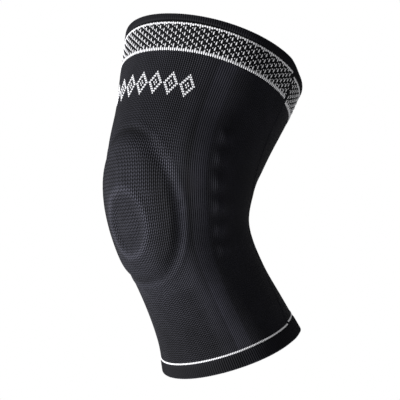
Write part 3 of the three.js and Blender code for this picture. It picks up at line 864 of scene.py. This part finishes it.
def make_band():
    """The grip band's ground, under its stitches and the stripe on each side of it."""
    start = THIGH_HEM_END + share_of(JOIN_GAP) / 2
    end = LOWER_STRIPE_END + share_of(JOIN_GAP) / 2
    band = knit_ring("grip_band_ground", start, end, outer_rows=16, inner_rows=8)
    knit = black_knit("band_knit", WALES, COURSES, holes=0.9, depth=0.4 * MM, yarn=BAND_YARN)
    finish(band, knit, "grip_knit", "grip_band")


RIB_DEPTH = 0.35 * MM
FACES_TO_A_RIB = 5
ROLL_STEPS = 6
HEM_STEPS = 8
ROLL_ENDS = 0.3  # share of the hem's height
HEM_THINS_FROM = 0.8  # share of the hem's height
HEM_THINS_BY = 0.35  # share of the hem's wall


def make_hem(name, rim, inner, ribs, node):
    """A folded hem with fine ribs, a rolled edge at the share rim, and thinner at the share inner."""
    height = inner - rim
    half = HEM_WALL / 2
    way = math.copysign(1, height)
    middle = -KNIT_WALL / 2
    arc = np.linspace(0, math.pi / 2, ROLL_STEPS)
    rim_shares = rim + way * share_of(half) * (1 - np.cos(arc))
    rim_bulge = np.sin(arc)
    rest = np.linspace(ROLL_ENDS, 1, HEM_STEPS)
    rest_bulge = 1 - HEM_THINS_BY * smooth_step((rest - HEM_THINS_FROM) / (1 - HEM_THINS_FROM))
    shares = np.concatenate([rim_shares, rim + height * rest])
    bulge = half * np.concatenate([rim_bulge, rest_bulge])
    if way > 0:
        profile = np.concatenate([shares, shares[:0:-1]])
        lifts = middle + np.concatenate([bulge, -bulge[:0:-1]])
    else:
        profile = np.concatenate([shares[::-1], shares[1:]])
        lifts = middle + np.concatenate([bulge[::-1], -bulge[1:]])

    def rib(angle, lift):
        """Cuts grooves between the ribs, on both faces of the hem."""
        wave = 0.5 - 0.5 * np.cos(np.radians(angle) * ribs)
        return -RIB_DEPTH * np.sign(lift - middle) * (1 - wave) ** 2

    hem = fabric_ring(name, profile, lifts, ribs * FACES_TO_A_RIB, rib)
    finish(hem, hem_knit(name + "_knit", ribs, float(rim)), "black_knit", node)


# The size of a stitch is its width, length and height
BAND_PERIODS = 60
BAND_ROWS = 8
DASH = np.array([1.2, 3.7, 0.9]) * MM
DASH_TILT = 4.0
DOT = np.array([0.9, 1.15, 0.6]) * MM
DOT_ABOVE = 0.15  # share of a row
BAND_SEAM_GAP = 1.6 * MM


def make_band_stitches():
    """Rows of short white dashes, each row half a period on from the last, with a dot beside each."""
    pitch = GRIP_BAND_HEIGHT / BAND_ROWS
    row, period = np.meshgrid(np.arange(BAND_ROWS), np.arange(BAND_PERIODS), indexing="ij")
    row, period = row.ravel(), period.ravel()
    step = FULL_TURN / BAND_PERIODS
    angle = (period + 0.5 * (row % 2)) * step
    share = GRIP_BAND_START + share_of((row + 0.5) * pitch)
    dash_share = share + jog_share(angle, share, STRIPE_JOG)
    dot_angle = angle - step / 4
    dot_share = share - share_of(DOT_ABOVE * pitch)
    dot_share = dot_share + jog_share(dot_angle, share, STRIPE_JOG)
    all_angles = np.concatenate([angle, dot_angle])
    all_shares = np.concatenate([dash_share, dot_share])
    size = np.concatenate([np.tile(DASH, (len(angle), 1)), np.tile(DOT, (len(angle), 1))])
    tilt = np.concatenate([np.full(len(angle), DASH_TILT), np.zeros(len(angle))])
    keep = clear_of_seam(all_angles, all_shares, BAND_SEAM_GAP)
    piece = stitches("grip_band_stitches", all_angles[keep], all_shares[keep], size[keep], tilt[keep])
    finish(piece, WHITE, "white_knit")


def clear_of_seam(angle, share, distance):
    """True for the stitches that lie further than distance from the side seam."""
    aside = np.radians(from_front(angle - seam_angle(share))) * radius_at(share, "back")
    return np.abs(aside) > distance


STRIPE_STITCH_HEIGHT = 0.8 * MM
BOW_AT = 15  # degrees from the front
BOW_SPREAD = 28
UPPER_STRIPE_LOWERED = 0.8 * MM
LOWER_STRIPE_THICKER = 0.5 * MM


def make_stripe(name, node, start, height, jog, teeth, width, gap, bow=0):
    """A white stripe: one upright stitch on each wale, whose width is a share of the wale's. teeth says
    how far stitches stick out of the stripe in turn, towards the knee, or towards the rim where it is
    negative. gap is kept clear on each side of the seam, and bow is how far the stripe hangs lower over
    the front."""
    angle = np.arange(WALES) * FULL_TURN / WALES
    longer = np.resize(teeth, WALES)
    hang = share_of(bow) * bell(from_front(angle) - BOW_AT, BOW_SPREAD)
    middle = start + share_of(height + longer) / 2 + hang
    share = middle + jog_share(angle, middle, jog)
    wide = np.radians(FULL_TURN / WALES) * radius_at(share, "side") * width
    size = np.stack([wide, height + np.abs(longer), np.full(WALES, STRIPE_STITCH_HEIGHT)], axis=-1)
    keep = clear_of_seam(angle, share, gap)
    piece = stitches(name, angle[keep], share[keep], size[keep])
    finish(piece, WHITE, "white_knit", node)


SEAM_ROW = 150  # stitches in each of the two rows
SEAM_START = 0.012
SEAM_END = 0.99
SEAM_ASIDE = 0.55 * MM
SEAM_TILT = 28.0
SEAM_STITCH = np.array([0.6, 2, 0.5]) * MM


def make_seam():
    """The side seam: two close rows of black stitches that lean towards each other."""
    share = np.linspace(SEAM_START, SEAM_END, SEAM_ROW)
    seam = seam_angle(share)
    aside = np.degrees(SEAM_ASIDE / radius_at(share, "side"))
    angle = np.concatenate([seam - aside, seam + aside])
    tilt = np.repeat([-SEAM_TILT, SEAM_TILT], SEAM_ROW)
    both = np.concatenate([share, share])
    seam_rows = stitches("side_seam", angle, both, SEAM_STITCH, tilt, bead=(6, 3))
    finish(seam_rows, SEAM_YARN, "black_knit")


LOZENGE_ANGLES = range(-34, 46, 12)
LOZENGES_AT = 0.222  # share of the length
LOZENGE_HALF = 5  # columns or rows from the middle of a lozenge to its corners
LOZENGE_RINGS = (1, 4, 5)  # steps from the middle that have white stitches
LOZENGE_ROW = 1.7 * MM
LOZENGE_STITCH = np.array([1.25, 1.8, 0.7]) * MM


def make_motif():
    """A row of plain knitted lozenges on the front of the thigh."""
    angle, share = [], []
    for centre in LOZENGE_ANGLES:
        for column in range(-LOZENGE_HALF, LOZENGE_HALF + 1):
            for row in range(-LOZENGE_HALF, LOZENGE_HALF + 1):
                if abs(column) + abs(row) in LOZENGE_RINGS:
                    angle.append(centre + column)
                    share.append(LOZENGES_AT + share_of(row * LOZENGE_ROW))
    motif = stitches("lozenge_motif", np.array(angle), np.array(share), LOZENGE_STITCH)
    finish(motif, WHITE, "white_knit")


GEL_COLUMNS = 144
GEL_ROWS = 14  # on each face
GEL_SQUARENESS = 8  # of the ring's section, where 2 is an ellipse
GEL_GROOVES = 24
GEL_GROOVE_DEPTH = 0.5 * MM
GEL_GROOVE_SPREAD = 0.3  # share of half the way to the next groove


def make_gel_ring():
    """The gel ring inside the knit, with rounded edges and shallow grooves across its inner face."""
    direction = np.arange(GEL_COLUMNS) * -2 * math.pi / GEL_COLUMNS
    across = (1 - np.cos(np.linspace(0, math.pi, GEL_ROWS))) / 2
    out = np.concatenate([across, across[::-1]])
    on_outer_face = np.repeat([True, False], GEL_ROWS)
    out_grid, dir_grid = np.meshgrid(out, direction, indexing="ij")
    hole_angle, hole_share = egg_point(WINDOW_SHAPE, dir_grid, GEL_HOLE)
    rim_angle, rim_share = egg_point(PAD_SHAPE, dir_grid, GEL_RIM)
    angle = hole_angle + (rim_angle - hole_angle) * out_grid
    share = hole_share + (rim_share - hole_share) * out_grid
    edge = np.sqrt(np.clip(1 - (2 * out_grid - 1) ** GEL_SQUARENESS, 0, 1))
    outer = ring_rise(angle, share) - KNIT_WALL - JOIN_GAP
    to_groove = (dir_grid * GEL_GROOVES / math.pi) % 2 - 1
    groove = GEL_GROOVE_DEPTH * bell(to_groove, GEL_GROOVE_SPREAD) * edge
    inner = -KNIT_WALL - PAD_BACKING + groove
    middle = (outer + inner) / 2
    face = np.where(on_outer_face[:, None], outer, inner)
    lift = middle + (face - middle) * edge
    points = place(angle, share, lift).reshape(-1, 3)
    ring = add_object("gel_ring", points, grid_faces(2 * GEL_ROWS, GEL_COLUMNS, True))
    finish(ring, GEL, "gel", "patella_pad")


POCKET_ROWS = 160
POCKET_COLUMNS = 26
POCKET_SEWN_AT = 0.955  # share of its half width
POCKET_RISE = 0.335
POCKET_EDGE = 0.55  # thickness of its edge, as a share of its wall


def make_pocket(name, side, node):
    """The knitted pocket over a stay, sewn down along its edges. side is 1 for the outer side of the
    knee and -1 for the inner one."""
    rows, columns = POCKET_ROWS, POCKET_COLUMNS
    reach = share_of(STAY_LENGTH / 2 + POCKET_END)
    shares = np.linspace(STAY_AT - reach, STAY_AT + reach, rows)
    across = np.linspace(-POCKET_SEWN_AT, POCKET_SEWN_AT, columns)
    share_grid, across_grid = np.meshgrid(shares, across, indexing="ij")
    angle = STAY_ANGLE + across_grid * POCKET_HALF_ANGLE
    over = smooth_step((POCKET_SEWN_AT - np.abs(across_grid)) / POCKET_RISE)
    low = -KNIT_WALL - JOIN_GAP
    high = stay_wave(share_grid) + low - STAY_THICKNESS - JOIN_GAP
    outer = low + (high - low) * over
    inner = outer - POCKET_WALL * (POCKET_EDGE + (1 - POCKET_EDGE) * over)
    loop_angle = np.concatenate([angle, angle[:, ::-1]], axis=1)
    loop_lift = np.concatenate([outer, inner[:, ::-1]], axis=1)
    loop_share = np.concatenate([share_grid, share_grid], axis=1)
    points = place(side * loop_angle, loop_share, loop_lift)
    around = 2 * columns
    faces = grid_faces(rows, around, False)
    if side < 0:
        faces = faces[:, ::-1]
    caps = []
    for j in range(columns - 1):
        start = [j, j + 1, around - 2 - j, around - 1 - j]
        end = [(rows - 1) * around + k for k in reversed(start)]
        caps += [start, end] if side > 0 else [start[::-1], end[::-1]]
    faces = np.concatenate([faces, caps])
    pocket = add_object(name, points.reshape(-1, 3), faces)
    finish(pocket, POCKET, "black_knit", node)


make_tube()
make_band()
make_hem("thigh_hem_ribbed", rim=0, inner=THIGH_HEM_END, ribs=250, node="thigh_hem")
make_hem("calf_hem_ribbed", rim=1, inner=CALF_HEM_START, ribs=200, node="calf_hem")
make_band_stitches()
make_stripe("upper_stripe_stitches", "upper_stripe", jog=STRIPE_JOG,
            start=UPPER_STRIPE_START + share_of(UPPER_STRIPE_LOWERED), height=UPPER_STRIPE_HEIGHT,
            teeth=[-0.2 * MM, 0.7 * MM, -0.2 * MM, 0.3 * MM], width=1.0, gap=1.4 * MM, bow=0.8 * MM)
make_stripe("lower_stripe_stitches", "lower_stripe", jog=STRIPE_JOG,
            start=LOWER_STRIPE_START, height=LOWER_STRIPE_HEIGHT + LOWER_STRIPE_THICKER,
            teeth=[-2 * MM, -0.2 * MM, -0.7 * MM, -0.2 * MM], width=0.8, gap=1.4 * MM, bow=0.5 * MM)
make_stripe("calf_stripe_stitches", "calf_stripe", jog=CALF_JOG,
            start=CALF_STRIPE_START, height=CALF_STRIPE_HEIGHT, teeth=[0], width=1.1, gap=2 * MM)
make_seam()
make_motif()
make_gel_ring()
make_pocket("outer_pocket_knit", side=1, node="outer_stay_pocket")
make_pocket("inner_pocket_knit", side=-1, node="inner_stay_pocket")

# The stays keep their solids and get only a material
for node_name in ("outer_stay", "inner_stay"):
    stay_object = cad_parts[node_name]
    stay_object.data.materials.clear()
    stay_object.data.materials.append(STAY)


# Floor, light and camera

CAMERA_AZIMUTH = 46.5
CAMERA_ELEVATION = -6.09
CAMERA_DISTANCE = 1.8
CAMERA_TARGET = np.array([8.7, 8.7, 3.1]) * MM
CAMERA_LENS = 188.6  # on a sensor 36 mm wide
FLOOR_HEIGHT = -0.95
FLOOR_HALF_SIZE = 4.0


def way_to(azimuth, elevation):
    """The direction from the sleeve to a camera or lamp at these angles, in degrees."""
    turn, rise = math.radians(azimuth), math.radians(elevation)
    level = math.cos(rise)
    return np.array([math.sin(turn) * level, -math.cos(turn) * level, math.sin(rise)])


def look_at(thing, position, target):
    """Puts a camera or lamp at a position, with its -Z axis towards the target."""
    back = np.asarray(position, float) - np.asarray(target, float)
    back = back / np.linalg.norm(back)
    right = np.cross([0, 0, 1], back)
    right = right / np.linalg.norm(right)
    up = np.cross(back, right)
    matrix = np.eye(4)
    matrix[:3, 0], matrix[:3, 1], matrix[:3, 2], matrix[:3, 3] = right, up, back, position
    thing.matrix_world = Matrix(matrix.tolist())


def make_camera():
    """The camera at the photo's angle to the sleeve."""
    data = bpy.data.cameras.new("camera")
    data.lens = CAMERA_LENS
    data.clip_end = 20
    camera = bpy.data.objects.new("camera", data)
    bpy.context.scene.collection.objects.link(camera)
    away = CAMERA_DISTANCE * way_to(CAMERA_AZIMUTH, CAMERA_ELEVATION)
    look_at(camera, CAMERA_TARGET + away, CAMERA_TARGET)
    bpy.context.scene.camera = camera


def make_softbox(name, azimuth, elevation, distance, width, height, power):
    """A rectangular lamp that faces the sleeve."""
    data = bpy.data.lights.new(name, "AREA")
    data.shape = "RECTANGLE"
    data.size, data.size_y = width, height
    data.energy = power
    lamp = bpy.data.objects.new(name, data)
    bpy.context.scene.collection.objects.link(lamp)
    look_at(lamp, distance * way_to(azimuth, elevation), [0, 0, 0])


def make_floor():
    """A plain pale floor."""
    size = FLOOR_HALF_SIZE
    corners = [(-size, -size, FLOOR_HEIGHT), (size, -size, FLOOR_HEIGHT),
               (size, size, FLOOR_HEIGHT), (-size, size, FLOOR_HEIGHT)]
    floor = add_object("floor", corners, [[0, 1, 2, 3]])
    s = Shader("pale_floor")
    s.surface.inputs["Base Color"].default_value = PALE_FLOOR
    s.surface.inputs["Roughness"].default_value = 0.7
    floor.data.materials.append(s.material)


def make_world(seen, lighting):
    """A backdrop that is white to the camera and dimmer as a light."""
    world = bpy.data.worlds.new("studio")
    bpy.context.scene.world = world
    world.use_nodes = True
    tree = world.node_tree
    background = tree.nodes["Background"]
    background.inputs["Color"].default_value = (1, 1, 1, 1)
    ray = tree.nodes.new("ShaderNodeLightPath")
    strength = tree.nodes.new("ShaderNodeMapRange")
    tree.links.new(ray.outputs["Is Camera Ray"], strength.inputs["Value"])
    strength.inputs["To Min"].default_value = lighting
    strength.inputs["To Max"].default_value = seen
    tree.links.new(strength.outputs[0], background.inputs["Strength"])


make_camera()
make_softbox("key_softbox", azimuth=-20, elevation=-6, distance=1.8, width=0.5, height=0.7, power=125)
make_floor()
make_world(seen=1.0, lighting=0.4)
bpy.context.scene.view_settings.view_transform = "Standard"
